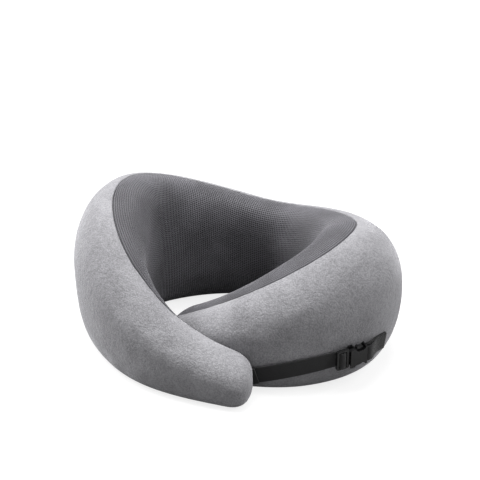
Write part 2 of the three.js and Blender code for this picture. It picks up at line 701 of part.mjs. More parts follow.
// Anchor webbing: a loop round the socket's bar that runs down to a flat patch sewn on the right arm.
function anchorWebbing() {
  const z = WEBBING_WIDTH / 2;
  const half = 1.2 + LAYER_GAP;
  const low = SOCKET_LENGTH - 1.6 - LAYER_GAP;
  const high = SOCKET_LENGTH + LAYER_GAP;
  const [near, far] = patchFeet();
  const outline = new THREE.Shape();
  outline.moveTo(low - LOOP_WALL, -half - LOOP_WALL);
  outline.lineTo(high + LOOP_WALL, -half - LOOP_WALL);
  outline.lineTo(near.x, near.y - PATCH_THICKNESS);
  outline.lineTo(far.x, far.y - PATCH_THICKNESS);
  outline.lineTo(far.x, far.y);
  outline.lineTo(near.x, near.y);
  outline.lineTo(high + LOOP_WALL, half + LOOP_WALL);
  outline.lineTo(low - LOOP_WALL, half + LOOP_WALL);
  const geometry = new THREE.ExtrudeGeometry(outline, { depth: 2 * z, bevelEnabled: false });
  return cut(geometry.translate(0, 0, -z), block([low, -half, -z - 1], [high, half, z + 1]));
}

// Box-and-cross stitching on the anchor patch, as one frame of thread.
function patchStitching() {
  const [near, far] = patchFeet();
  const lift = PATCH_THICKNESS + STITCH_GAP + THREAD / 2;
  const across = WEBBING_WIDTH / 2 - 2;
  const along = (part) => near.clone().lerp(far, part);
  const corner = (part, side) => along(part).add(new THREE.Vector3(0, -lift, side * across));
  const bar = (from, to) => {
    const box = new THREE.BoxGeometry(THREAD, from.distanceTo(to) + THREAD, THREAD);
    const direction = to.clone().sub(from).normalize();
    const turn = new THREE.Quaternion().setFromUnitVectors(new THREE.Vector3(0, 1, 0), direction);
    const middle = from.clone().add(to).divideScalar(2);
    return box.applyQuaternion(turn).translate(middle.x, middle.y, middle.z);
  };
  const corners = [corner(0.12, -1), corner(0.88, -1), corner(0.88, 1), corner(0.12, 1)];
  const edges = corners.map((point, i) => bar(point, corners[(i + 1) % 4]));
  return joined(...edges, bar(corners[0], corners[2]), bar(corners[1], corners[3]));
}

// ---- Materials ----
function finish(color, roughness, metalness = 0) {
  return new THREE.MeshStandardMaterial({ color, roughness, metalness });
}

const MATERIALS = {
  plush: () => finish(0x8f8f94, 0.95),
  mesh: () => finish(0x3a3a3d, 0.85),
  liner: () => finish(0xe8e6e0, 0.9),
  foam: () => finish(0xf1ead2, 0.9),
  webbing: () => finish(0x1c1c1e, 0.8),
  thread: () => finish(0x2a2a2c, 0.7),
  plastic: () => finish(0x141415, 0.4),
  tape: () => finish(0x55555a, 0.85),
  metal: () => finish(0x6c6c70, 0.35, 0.9),
};

// ---- Assembly ----
const group = new THREE.Group();

function addPart(name, geometry, material, matrix) {
  const mesh = new THREE.Mesh(geometry, MATERIALS[material]());
  mesh.name = name;
  if (matrix) mesh.applyMatrix4(matrix);
  mesh.position.sub(BASE_MIDDLE);
  group.add(mesh);
}

Object.entries(ROWS).forEach(([side, rows]) => {
  addPart(`foam_core_${side}`, foamCore(rows), 'foam');
  addPart(`inner_liner_${side}`, liner(rows), 'liner');
  addPart(`plush_cover_${side}`, side === 'back' ? coverWithZipRecess() : plushCover(rows), 'plush');
  addPart(`mesh_panel_${side}`, meshPanel(rows), 'mesh');
});

addPart('zip_tape_upper', zipTape(1), 'tape');
addPart('zip_tape_lower', zipTape(-1), 'tape');
addPart('zip_coil', zipCoil(), 'plastic');
addPart('zip_top_stop', zipStop(1), 'metal');
addPart('zip_bottom_stop', zipStop(-1), 'metal');
addPart('zip_slider', onZip(zipSliderShape()), 'metal');
addPart('zip_pull_tab', onZip(zipPullShape()), 'metal');

const BUCKLE = buckleFrame();
const HEM_STANDOFF = STRAP_STANDOFF + WEBBING_THICKNESS + LAYER_GAP;
const STRAP_STATIONS = [STRAP_START_STATION, BUCKLE_STATION - 0.02];
addPart('strap_webbing', band(...STRAP_STATIONS, 12, STRAP_STANDOFF, WEBBING_THICKNESS), 'webbing');
addPart('strap_sewn_hem', band(...HEM_STATIONS, 2, HEM_STANDOFF, WEBBING_THICKNESS), 'webbing');
addPart('strap_fold', strapFold(), 'webbing', BUCKLE);
addPart('buckle_plug', buckleMale(), 'plastic', BUCKLE);
addPart('prong_upper', prong(1), 'plastic', BUCKLE);
addPart('prong_lower', prong(-1), 'plastic', BUCKLE);
addPart('buckle_socket', buckleFemale(), 'plastic', BUCKLE);
addPart('anchor_webbing', anchorWebbing(), 'webbing', BUCKLE);
addPart('anchor_stitching', patchStitching(), 'thread', BUCKLE);

export default group;
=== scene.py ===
# U-shaped travel neck pillow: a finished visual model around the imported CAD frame.
# The covers are built from the same form as the CAD solids, in millimetres.
# make_mesh() turns them into metres.
import math

import bmesh
import bpy
import numpy as np
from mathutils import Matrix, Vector


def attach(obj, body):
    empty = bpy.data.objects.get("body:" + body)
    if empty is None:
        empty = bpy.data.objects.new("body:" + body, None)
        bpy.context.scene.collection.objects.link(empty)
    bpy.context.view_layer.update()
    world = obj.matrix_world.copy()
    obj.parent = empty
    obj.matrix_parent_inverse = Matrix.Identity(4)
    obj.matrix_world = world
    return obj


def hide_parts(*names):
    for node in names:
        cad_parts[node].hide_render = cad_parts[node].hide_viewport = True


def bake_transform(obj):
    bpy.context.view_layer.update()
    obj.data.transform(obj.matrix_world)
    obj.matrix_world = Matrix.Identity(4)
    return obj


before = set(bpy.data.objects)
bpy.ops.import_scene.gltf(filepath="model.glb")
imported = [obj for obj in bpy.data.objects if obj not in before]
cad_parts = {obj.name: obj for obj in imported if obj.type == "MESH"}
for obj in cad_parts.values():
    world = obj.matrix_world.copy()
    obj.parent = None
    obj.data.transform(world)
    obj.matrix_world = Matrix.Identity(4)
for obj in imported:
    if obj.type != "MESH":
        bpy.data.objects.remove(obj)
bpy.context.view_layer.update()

MM = 0.001

# ---- The pillow's form, the same driving dimensions as the CAD solids, back centre first and tip last ----
RIGHT_PATH = [[0, 96], [52, 85], [101, 43], [113, 1], [86, -40], [25, -67.5], [-43, -44]]
LEFT_PATH = [[0, 96], [-52, 85], [-100.5, 48], [-118, -1], [-93.5, -65.5], [-32, -108], [57, -101.8]]
RIGHT_HALF_THICKNESS = [22.5, 33, 39.6, 39.4, 33.2, 25.5, 21]
LEFT_HALF_THICKNESS = [22.5, 33.3, 40, 40.2, 27.7, 16.4, 16.2]
RIGHT_CREST = [92, 102.7, 118, 126.5, 109.7, 76.4, 35.5]
LEFT_CREST = [92, 106, 128.3, 139.3, 115.8, 64.5, 34]
RIGHT_SEAM = [79, 82, 83.4, 82.3, 77.1, 70.3, 61.5]
LEFT_SEAM = [79, 82, 82, 78, 82.5, 98, 112]
WAIST = [0.49, 0.495, 0.5, 0.53, 0.56, 0.535, 0.51]
RIGHT_LOWER_POWER = [2, 1.95, 1.97, 1.7, 1.61, 1.9, 2.15]
LEFT_LOWER_POWER = [2, 1.9, 1.75, 2.05, 2.5, 2.36, 1.95]
UPPER_POWER, OUTER_POWER, NECK_POWER = 2.3, 2.4, 2.65
LOWER_DEPTH = 1.04
LEAN_BACK, LEAN_ARM = -4.5, -9.0
RIGHT_FLARE, LEFT_FLARE = 9.2, 3.5
TIP_ROUND = 20.0
BASE_MIDDLE = np.array([-1.770, -1.029, 0.0])
STATIONS, MIDDLE = 12, 6
LOWER_SEAM, PANEL_MIDDLE = 262.0, 172.0
PANEL_END, PANEL_TAPER, PANEL_POINT = 21.0, 16.0, 21.2
SEAM_GAP_ANGLE = 0.4
COVER_THICKNESS = 3.0

# ---- Strap, buckle and zip, as in the CAD ----
WEBBING_WIDTH, WEBBING_THICKNESS = 16.0, 1.3
STRAP_START, STRAP_END, BUCKLE_STATION = 1.24, 3.0, 2.37
STRAP_LOW, STRAP_HIGH, CLIMB_POWER = 14.5, 33.0, 2.3
PATCH_STATIONS = (2.79, 2.94)
BUCKLE_STANDOFF, PATCH_STANDOFF = 4.9, 0.9
SOCKET_LENGTH = 19.0
ZIP_HEIGHT, ZIP_CENTRE_Y, ZIP_RADIUS, ZIP_HALF_ANGLE, ZIP_LEAN = 22.0, -82.0, 197.4, 20.0, 0.23
ZIP_RECESS = 1.7


def join_sides(right, left):
    return np.array(right[::-1] + left[1:], float)


PATH = join_sides(RIGHT_PATH, LEFT_PATH)
FORM = {
    "thickness": join_sides(RIGHT_HALF_THICKNESS, LEFT_HALF_THICKNESS),
    "crest": join_sides(RIGHT_CREST, LEFT_CREST),
    "seam": join_sides(RIGHT_SEAM, LEFT_SEAM),
    "waist": join_sides(WAIST, WAIST),
    "lower_power": join_sides(RIGHT_LOWER_POWER, LEFT_LOWER_POWER),
}


def spline(values, t):
    """Uniform cubic B-spline through the stations, with mirrored ends."""
    first, last = 2 * values[0] - values[1], 2 * values[-1] - values[-2]
    control = np.concatenate([[first], values, [last]])
    i = np.clip(np.floor(t).astype(int), 0, len(values) - 2)
    f = t - i
    parts = ((1 - f) ** 3, 3 * f**3 - 6 * f**2 + 4, -3 * f**3 + 3 * f**2 + 3 * f + 1, f**3)
    return sum(part * control[i + k] for k, part in enumerate(parts)) / 6


def path_point(t):
    return spline(PATH[:, 0], t), spline(PATH[:, 1], t)


ARC_STATIONS = np.linspace(0, STATIONS, 2401)
_steps = np.hypot(*np.diff(np.array(path_point(ARC_STATIONS)), axis=1))
ARC_TABLE = np.concatenate([[0], np.cumsum(_steps)])
TOTAL_ARC = ARC_TABLE[-1]


def arc_at(t):
    return np.interp(t, ARC_STATIONS, ARC_TABLE)


def station_at(arc):
    return np.interp(arc, ARC_TABLE, ARC_STATIONS)


def outward(t):
    """Horizontal unit vector away from the neck."""
    step = 0.01
    low, high = np.maximum(t - step, 0), np.minimum(t + step, STATIONS)
    x0, y0 = path_point(low)
    x1, y1 = path_point(high)
    size = np.hypot(x1 - x0, y1 - y0)
    return (y1 - y0) / size, -(x1 - x0) / size


def section(t):
    crest = spline(FORM["crest"], t)
    away = np.abs(t - MIDDLE) / MIDDLE
    flare = np.where(t < MIDDLE, RIGHT_FLARE, LEFT_FLARE)
    return {
        "crest": crest,
        "waist": spline(FORM["waist"], t) * crest,
        "thickness": spline(FORM["thickness"], t),
        "lower_power": spline(FORM["lower_power"], t),
        "lean": LEAN_BACK + (LEAN_ARM - LEAN_BACK) * np.clip(away / 0.45, 0, 1),
        "flare": flare * np.clip((away - 0.3) / 0.4, 0, 1),
    }


def place(t, offset, z):
    x, y = path_point(t)
    out_x, out_y = outward(t)
    return np.stack([x + out_x * offset, y + out_y * offset, z], -1) - BASE_MIDDLE


def surface(arc, angle, inset=0.0):
    """Points of the pillow's form, moved inwards by inset. Arc length is measured from the right tip."""
    arc, angle = np.broadcast_arrays(np.asarray(arc, float), np.asarray(angle, float))
    from_end = np.minimum(arc, TOTAL_ARC - arc)
    capped = inset + from_end * (TIP_ROUND - inset) / TIP_ROUND
    distance = np.where(from_end < TIP_ROUND, capped, from_end)
    t = station_at(np.where(arc < TOTAL_ARC / 2, distance, TOTAL_ARC - distance))
    part = np.clip((distance - inset) / (TIP_ROUND - inset), 0, 1)
    fullness = np.cbrt(1 - (1 - part) ** 3)
    v = section(station_at(arc))
    c, s = np.cos(np.radians(angle)), np.sin(np.radians(angle))
    rise = (v["crest"] - v["waist"] - inset) * np.abs(s) ** (2 / UPPER_POWER)
    fall = (v["waist"] * LOWER_DEPTH - inset) * np.abs(s) ** (2 / v["lower_power"])
    z = np.maximum(v["waist"] + np.where(s > 0, rise, -fall) * fullness, inset)
    above = np.clip((z - v["waist"]) / (v["crest"] - v["waist"]), 0, 1)
    below = np.clip((v["waist"] - z) / v["waist"], 0, 1)
    power = np.where(c > 0, OUTER_POWER, NECK_POWER)
    across = (v["thickness"] - inset) * np.sign(c) * np.abs(c) ** (2 / power) * fullness
    return place(t, across + v["lean"] * above**2 + v["flare"] * below**2 * fullness, z)


def surface_normal(arc, angle):
    """Unit vectors out of the form, from small steps along it."""
    arc = np.clip(arc, 0.4, TOTAL_ARC - 0.4)
    along = surface(arc + 0.2, angle) - surface(arc - 0.2, angle)
    around = surface(arc, angle + 0.6) - surface(arc, angle - 0.6)
    normal = np.cross(along, around)
    return normal / np.maximum(np.linalg.norm(normal, axis=-1, keepdims=True), 1e-9)


def outer_point(t, z, standoff):
    """The point of the outer face at a station and a height."""
    t, z = np.broadcast_arrays(np.asarray(t, float), np.asarray(z, float))
    v = section(t)
    above = np.clip((z - v["waist"]) / (v["crest"] - v["waist"]), 0, 1)
    below = np.clip((v["waist"] - z) / (v["waist"] * LOWER_DEPTH), 0, 1)
    s = np.where(above > 0, above ** (UPPER_POWER / 2), below ** (v["lower_power"] / 2))
    foot = np.clip((v["waist"] - z) / v["waist"], 0, 1)
    across = v["thickness"] * np.sqrt(np.maximum(1 - s * s, 0)) ** (2 / OUTER_POWER)
    return place(t, across + v["lean"] * above**2 + v["flare"] * foot**2 + standoff, z)


def panel_angles(arc):
    """Section angles where the mesh panel starts on the crest and ends under the neck side.

    The panel is open to the right tip, and closes in a rounded point before the left one.
    """
    part = np.clip((TOTAL_ARC - arc - PANEL_END) / PANEL_TAPER, 0, 1)
    opening = np.sqrt(1 - (1 - part) ** 2)
    seam = spline(FORM["seam"], station_at(arc))
    upper = PANEL_MIDDLE + (seam - PANEL_MIDDLE) * opening
    lower = PANEL_MIDDLE + (LOWER_SEAM - PANEL_MIDDLE) * opening
    return upper, lower, opening


def strap_height(t):
    left = np.clip((STRAP_END - t) / (STRAP_END - STRAP_START), 0, 1)
    return STRAP_HIGH - (STRAP_HIGH - STRAP_LOW) * left**CLIMB_POWER


def smooth(value, low, high):
    part = np.clip((value - low) / (high - low), 0, 1)
    return part * part * (3 - 2 * part)


# ---- Value noise for gentle shape variation ----
_lattice = np.random.default_rng(11).random((16, 16, 16))


def noise(points, size):
    """Smooth noise from -1 to 1 at points in millimetres, with features of about this size."""
    q = points / size + 64.0
    i = np.floor(q).astype(int)
    f = q - i
    f = f * f * (3 - 2 * f)
    total = 0
    for dx in (0, 1):
        for dy in (0, 1):
            for dz in (0, 1):
                corner = _lattice[(i[..., 0] + dx) % 16, (i[..., 1] + dy) % 16, (i[..., 2] + dz) % 16]
                wx = f[..., 0] if dx else 1 - f[..., 0]
                wy = f[..., 1] if dy else 1 - f[..., 1]
                wz = f[..., 2] if dz else 1 - f[..., 2]
                total = total + corner * wx * wy * wz
    return 2 * total - 1


# ---- Mesh making ----
def make_mesh(name, points, faces, uv=None, material=None):
    """An object from points in millimetres, with its rest place kept for the textures and uv in metres."""
    mesh = bpy.data.meshes.new(name)
    mesh.from_pydata((np.asarray(points) * MM).tolist(), [], [list(map(int, f)) for f in faces])
    rest = mesh.attributes.new("rest", "FLOAT_VECTOR", "POINT")
    rest.data.foreach_set("vector", (np.asarray(points) * MM).astype(np.float32).ravel())
    if uv is not None:
        corners = np.zeros(len(mesh.loops), np.int32)
        mesh.loops.foreach_get("vertex_index", corners)
        layer = mesh.uv_layers.new(name="cloth")
        layer.data.foreach_set("uv", (np.asarray(uv) * MM)[corners].astype(np.float32).ravel())
    bm = bmesh.new()
    bm.from_mesh(mesh)
    bmesh.ops.remove_doubles(bm, verts=bm.verts, dist=1e-7)
    bmesh.ops.dissolve_degenerate(bm, edges=bm.edges, dist=1e-8)
    bmesh.ops.recalc_face_normals(bm, faces=bm.faces)
    bm.to_mesh(mesh)
    bm.free()
    mesh.polygons.foreach_set("use_smooth", np.ones(len(mesh.polygons), bool))
    mesh.set_sharp_from_angle(angle=math.radians(55))
    if material:
        mesh.materials.append(material)
    piece = bpy.data.objects.new(name, mesh)
    bpy.context.scene.collection.objects.link(piece)
    return piece


def grid_faces(rows, columns, first=0, wrap=False):
    index = first + np.arange(rows * columns).reshape(rows, columns)
    left = index if wrap else index[:, :-1]
    right = np.roll(index, -1, axis=1) if wrap else index[:, 1:]
    return np.stack([left[:-1], right[:-1], right[1:], left[1:]], -1).reshape(-1, 4)


def sweep(name, rings, uv, material):
    """A closed tube through rings of points, with flat ends."""
    rows, columns = rings.shape[:2]
    faces = grid_faces(rows, columns, wrap=True).tolist()
    faces += [list(range(columns))[::-1], [(rows - 1) * columns + j for j in range(columns)]]
    return make_mesh(name, rings.reshape(-1, 3), faces, uv.reshape(-1, 2), material)


def ribbon(name, centre, across, width, thickness, material, edge=3, face=7):
    """A woven band: a rounded flat section swept along centre, with across the direction of its width."""
    centre, across = np.asarray(centre, float), np.asarray(across, float)
    along = np.gradient(centre, axis=0)
    along /= np.linalg.norm(along, axis=1, keepdims=True)
    across = across - along * np.sum(across * along, axis=1, keepdims=True)
    across /= np.linalg.norm(across, axis=1, keepdims=True)
    up = np.cross(along, across)
    half_w, half_t = width / 2, thickness / 2
    flat = half_w - half_t
    turn = np.linspace(-np.pi / 2, np.pi / 2, edge + 2)
    side = [(flat + half_t * math.cos(a), half_t * math.sin(a)) for a in turn]
    top = [(x, half_t) for x in np.linspace(flat, -flat, face)[1:-1]]
    other = [(-x, -y) for x, y in side]
    bottom = [(-x, -half_t) for x in np.linspace(flat, -flat, face)[1:-1]]
    outline = np.array(side + top + other + bottom)
    rings = centre[:, None] + across[:, None] * outline[None, :, :1] + up[:, None] * outline[None, :, 1:]
    length = np.concatenate([[0], np.cumsum(np.linalg.norm(np.diff(centre, axis=0), axis=1))])
    uv = np.stack(np.broadcast_arrays(length[:, None], outline[None, :, 0]), -1)
    return sweep(name, rings, uv, material)


def thread_line(points, outs, stitch=2.3, gap=0.45, radius=0.24):
    """Short sewn stitches along a line of points: each dips into the cloth at both ends."""
    points, outs = np.asarray(points, float), np.asarray(outs, float)
    length = np.concatenate([[0], np.cumsum(np.linalg.norm(np.diff(points, axis=0), axis=1))])
    count = max(int(length[-1] / (stitch + gap)), 1)
    verts, faces, uvs = [], [], []
    for k in range(count):
        start = (k + 0.5) * length[-1] / count - stitch / 2
        s = start + stitch * np.linspace(0, 1, 7)
        centre = np.stack([np.interp(s, length, points[:, a]) for a in range(3)], -1)
        out = np.stack([np.interp(s, length, outs[:, a]) for a in range(3)], -1)
        out /= np.linalg.norm(out, axis=1, keepdims=True)
        arch = np.sin(np.linspace(0, np.pi, 7)) ** 0.6
        centre = centre + out * (arch * radius * 1.3 - radius * 0.9)[:, None]
        along = np.gradient(centre, axis=0)
        along /= np.linalg.norm(along, axis=1, keepdims=True)
        side = np.cross(along, out)
        side /= np.linalg.norm(side, axis=1, keepdims=True)
        lift = np.cross(side, along)
        turn = np.linspace(0, 2 * np.pi, 6, endpoint=False)
        thick = radius * (0.55 + 0.45 * arch)[:, None, None]
        ring = centre[:, None] + thick * (side[:, None] * np.cos(turn)[None, :, None]
                                          + lift[:, None] * np.sin(turn)[None, :, None])
        first = len(verts)
        verts += ring.reshape(-1, 3).tolist()
        uvs += np.stack(np.broadcast_arrays(s[:, None], turn[None] * radius), -1).reshape(-1, 2).tolist()
        faces += grid_faces(7, 6, first, wrap=True).tolist()
        faces += [[first + j for j in range(6)][::-1], [first + 36 + j for j in range(6)]]
    return verts, faces, uvs


def stitched(name, lines, material, **options):
    verts, faces, uvs = [], [], []
    for points, outs in lines:
        v, f, u = thread_line(points, outs, **options)
        faces += [[i + len(verts) for i in face] for face in f]
        verts += v
        uvs += u
    return make_mesh(name, verts, faces, uvs, material)


# ---- Materials ----
class Finish:
    """Small helper to write a node material in few lines."""

    def __init__(self, name):
        self.material = bpy.data.materials.new(name)
        self.material.use_nodes = True
        self.tree = self.material.node_tree
        self.tree.nodes.clear()

    def node(self, kind, inputs=None, **settings):
        made = self.tree.nodes.new("ShaderNode" + kind)
        for key, value in settings.items():
            setattr(made, key, value)
        for key, value in (inputs or {}).items():
            if isinstance(value, bpy.types.NodeSocket):
                self.tree.links.new(value, made.inputs[key])
            else:
                made.inputs[key].default_value = value
        return made

    def math(self, operation, a, b=0.0, c=0.0):
        return self.node("Math", {0: a, 1: b, 2: c}, operation=operation).outputs[0]

    def remap(self, value, low, high, to_low=0.0, to_high=1.0):
        inputs = {"Value": value, "From Min": low, "From Max": high, "To Min": to_low, "To Max": to_high}
        return self.node("MapRange", inputs, interpolation_type="SMOOTHSTEP").outputs["Result"]

    def rest(self):
        return self.node("Attribute", attribute_name="rest").outputs["Vector"]

    def noise(self, vector, scale, detail=2.0, roughness=0.5, distortion=0.0):
        inputs = {"Vector": vector, "Scale": scale, "Detail": detail, "Roughness": roughness,
                  "Distortion": distortion}
        return self.node("TexNoise", inputs).outputs["Fac"]

    def mix(self, share, a, b):
        made = self.node("Mix", data_type="RGBA")
        for socket, value in ((made.inputs["Factor"], share), (made.inputs[6], a), (made.inputs[7], b)):
            if isinstance(value, bpy.types.NodeSocket):
                self.tree.links.new(value, socket)
            else:
                socket.default_value = value
        return made.outputs[2]

    def bump(self, height, distance, strength=1.0, normal=None):
        inputs = {"Height": height, "Distance": distance, "Strength": strength}
        if normal:
            inputs["Normal"] = normal
        return self.node("Bump", inputs).outputs["Normal"]

    def done(self, **inputs):
        names = {key.replace("_", " "): value for key, value in inputs.items()}
        shader = self.node("BsdfPrincipled", names)
        self.node("OutputMaterial", {"Surface": shader.outputs[0]})
        return self.material


def grey(value, blue=1.05):
    return (value * (0.8 + 0.2 * blue), value, value * blue, 1.0)


def velour():
    """Short brushed pile: nap patches, fine grain and a light rim where the pile is seen edge on."""
    f = Finish("velour")
    rest = f.rest()
    patches = f.noise(rest, 24, 3, 0.55, 0.9)
    strokes = f.noise(f.node("Mapping", {"Vector": rest, "Scale": (1, 1, 0.45)}).outputs[0], 75, 3, 0.6, 1.4)
    tufts = f.noise(rest, 330, 2, 0.6)
    grain = f.noise(rest, 800, 2, 0.75)
    tone = f.math("MULTIPLY_ADD", f.remap(patches, 0.34, 0.66), 0.16, 0.1)
    tone = f.math("MULTIPLY_ADD", f.remap(strokes, 0.32, 0.68), 0.1, tone)
    tone = f.math("MULTIPLY_ADD", f.remap(tufts, 0.32, 0.68), 0.13, tone)
    tone = f.math("MULTIPLY_ADD", f.remap(grain, 0.36, 0.64), 0.38, tone)
    colour = f.mix(tone, grey(0.145), grey(0.37))
    height = f.math("MULTIPLY_ADD", grain, 0.8, f.math("MULTIPLY", tufts, 0.9))
    normal = f.bump(strokes, 0.0016, 0.2)
    normal = f.bump(height, 0.0008, 0.75, normal)
    return f.done(Base_Color=colour, Roughness=0.92, Normal=normal, Specular_IOR_Level=0.15, Sheen_Weight=0.8,
                  Sheen_Roughness=0.4, Sheen_Tint=grey(0.92))


def spacer_mesh(pitch=1.9 * MM):
    """Three-dimensional air mesh: a regular grid of open cells between raised yarns, with painted shade in
    the cells.
    """
    f = Finish("spacer_mesh")
    uv = f.node("UVMap", uv_map="cloth").outputs[0]
    cells = f.node("VectorMath", {0: uv, 1: (1 / pitch, 1 / pitch, 1)}, operation="MULTIPLY").outputs[0]
    parts = f.node("SeparateXYZ", {0: cells})
    u, v = parts.outputs[0], parts.outputs[1]
    u = f.math("SUBTRACT", f.math("FRACT", u), 0.5)
    v = f.math("SUBTRACT", f.math("FRACT", v), 0.5)
    reach = f.math("SQRT", f.math("ADD", f.math("MULTIPLY", u, u), f.math("MULTIPLY", v, v)))
    yarn = f.remap(reach, 0.24, 0.44)
    # Seen edge on, the yarns hide the cells, so less of the painted shade shows.
    facing = f.node("LayerWeight", {"Blend": 0.5}).outputs["Facing"]
    closed = f.remap(facing, 0.6, 1.0)
    cover = f.math("MAXIMUM", yarn, f.math("MULTIPLY", closed, 0.45))
    worn = f.noise(f.rest(), 30, 2, 0.5)
    yarn_colour = f.mix(f.remap(worn, 0.3, 0.7), grey(0.09, 1.12), grey(0.145, 1.12))
    # Painted shade: the open cells are coloured near black for the shade inside them, and the yarns keep
    # their own grey.
    colour = f.mix(cover, grey(0.003, 1.12), yarn_colour)
    fuzz = f.noise(f.rest(), 2600, 1, 0.5)
    normal = f.bump(f.math("MULTIPLY_ADD", fuzz, 0.15, yarn), 0.0009, 0.85)
    return f.done(Base_Color=colour, Roughness=0.6, Normal=normal, Specular_IOR_Level=0.35, Sheen_Weight=0.35,
                  Sheen_Roughness=0.35, Sheen_Tint=grey(0.9))


def woven(name, dark, light, along, across, depth=0.00025, sheen=0.25):
    """Plain weave in the band's own uv, with thread spacings in metres."""
    f = Finish(name)
    uv = f.node("SeparateXYZ", {0: f.node("UVMap", uv_map="cloth").outputs[0]})
    u = f.math("SINE", f.math("MULTIPLY", uv.outputs[0], 2 * math.pi / along))
    v = f.math("SINE", f.math("MULTIPLY", uv.outputs[1], 2 * math.pi / across))
    over = f.math("MULTIPLY_ADD", f.math("MULTIPLY", u, v), 0.5, 0.5)
    fibre = f.noise(f.rest(), 1800, 2, 0.6)
    wear = f.noise(f.rest(), 55, 2, 0.5)
    tone = f.math("MULTIPLY_ADD", over, 0.55, f.math("MULTIPLY", fibre, 0.3))
    tone = f.math("MULTIPLY_ADD", wear, 0.25, tone)
    colour = f.mix(tone, dark, light)
    normal = f.bump(f.math("MULTIPLY_ADD", fibre, 0.3, over), depth, 0.9)
    return f.done(Base_Color=colour, Roughness=0.72, Normal=normal, Specular_IOR_Level=0.35,
                  Sheen_Weight=sheen, Sheen_Roughness=0.4)


def moulded_plastic():
    f = Finish("moulded_plastic")
    rest = f.node("TexCoord").outputs["Object"]
    grain = f.noise(rest, 2400, 2, 0.6)
    swirl = f.noise(rest, 160, 3, 0.6)
    colour = f.mix(swirl, grey(0.007), grey(0.014))
    rough = f.remap(swirl, 0.3, 0.7, 0.14, 0.24)
    normal = f.bump(grain, 0.00004, 0.4)
    return f.done(Base_Color=colour, Roughness=rough, Normal=normal, Specular_IOR_Level=0.6)


def enamelled_metal():
    f = Finish("enamelled_metal")
    rest = f.node("TexCoord").outputs["Object"]
    scuffs = f.noise(rest, 700, 4, 0.7, 0.5)
    colour = f.mix(f.remap(scuffs, 0.55, 0.75), grey(0.1), grey(0.3))
    rough = f.remap(scuffs, 0.3, 0.7, 0.24, 0.45)
    return f.done(Base_Color=colour, Roughness=rough, Metallic=0.85, Normal=f.bump(scuffs, 0.00005, 0.4))


def sewing_thread(name, value):
    f = Finish(name)
    uv = f.node("SeparateXYZ", {0: f.node("UVMap", uv_map="cloth").outputs[0]})
    twist = f.math("MULTIPLY_ADD", uv.outputs[1], 1.6, uv.outputs[0])
    ply = f.math("SINE", f.math("MULTIPLY", twist, 2 * math.pi / 0.00055))
    colour = f.mix(f.math("MULTIPLY_ADD", ply, 0.5, 0.5), grey(value * 0.6), grey(value * 1.4))
    return f.done(Base_Color=colour, Roughness=0.55, Normal=f.bump(ply, 0.00008, 0.8), Sheen_Weight=0.3)


VELOUR = velour()
SPACER_MESH = spacer_mesh()
WEBBING = woven("webbing", grey(0.008), grey(0.03), 0.0011, 0.0017)
ZIP_TAPE = woven("zip_tape", grey(0.1), grey(0.2), 0.0008, 0.0008, 0.00012)
PLASTIC = moulded_plastic()
COIL_NYLON = moulded_plastic()
METAL = enamelled_metal()
BLACK_THREAD = sewing_thread("black_thread", 0.03)
GREY_THREAD = sewing_thread("grey_thread", 0.22)


# ---- Cover panels ----
SEAM_STEPS = np.array([0, 0.1, 0.28, 0.55, 0.9, 1.4, 2.1, 3.2, 4.8])
DENSE_ANGLES = 420
PLUSH_COLUMNS, MESH_COLUMNS = 92, 46
TRENCH_DEPTH = 2.75


def section_grid(arcs, start, end, columns):
    """Angles at even distances round each section from start to end, with finer columns beside both seams."""
    share = np.linspace(0, 1, DENSE_ANGLES)
    angles = start[:, None] + (end - start)[:, None] * share
    points = surface(arcs[:, None], angles)
    steps = np.linalg.norm(np.diff(points, axis=1), axis=2)
    lengths = np.concatenate([np.zeros((len(arcs), 1)), np.cumsum(steps, axis=1)], axis=1)
    total = lengths[:, -1]
    edge = SEAM_STEPS[None] * np.clip(total / 45, 0, 1)[:, None]
    inner = np.linspace(0, 1, columns)[1:-1][None]
    middle = edge[:, -1:] + (total[:, None] - 2 * edge[:, -1:]) * inner
    distance = np.concatenate([edge, middle, total[:, None] - edge[:, ::-1]], axis=1)
    found = np.stack([np.interp(d, l, a) for d, l, a in zip(distance, lengths, angles)])
    return found, distance, total


def side_arcs(middle_arc, spacing=2.2):
    """Rows from a tip to the back centre, close together where the form or the panel turns quickly."""
    cap = TIP_ROUND * (1 - np.cos(np.linspace(0, np.pi / 2, 13)))
    point = PANEL_END + np.array([-0.5, 0, 0.2, 0.45, 0.8, 1.3, 2, 3, 4.3, 5.8, 7.5, 9])
    body = np.linspace(PANEL_END + 10.4, middle_arc, int((middle_arc - PANEL_END) / spacing))
    return np.concatenate([cap, point, body])


MIDDLE_ARC = arc_at(MIDDLE)
ROWS = {"right": side_arcs(MIDDLE_ARC), "left": TOTAL_ARC - side_arcs(TOTAL_ARC - MIDDLE_ARC)}
START_INSET = 1.7


def cubic_weights(fine, coarse_count):
    """Matrix from coarse samples to fine places, given as 0..1, by a cubic B-spline."""
    at = fine * (coarse_count - 1)
    i = np.clip(np.floor(at).astype(int), 0, coarse_count - 2)
    f = at - i
    weights = np.zeros((len(fine), coarse_count))
    parts = ((1 - f) ** 3, 3 * f**3 - 6 * f**2 + 4, -3 * f**3 + 3 * f**2 + 3 * f + 1, f**3)
    for k, part in enumerate(parts):
        np.add.at(weights, (np.arange(len(fine)), np.clip(i + k - 1, 0, coarse_count - 1)), part / 6)
    return weights


# The simulated cover: its rows, its columns on each panel, the arc left out at each tip, and its frames.
SIM_ROWS, SIM_PLUSH, SIM_MESH, SIM_END, SIM_FRAMES = 116, 34, 16, 6, 20
# Where the strap holds it down: the distance from the strap's middle, and the stations either side of one.
HOLD_REACH, HOLD_STATION, HOLD_STATIONS = 6.5, 2.1, 0.95


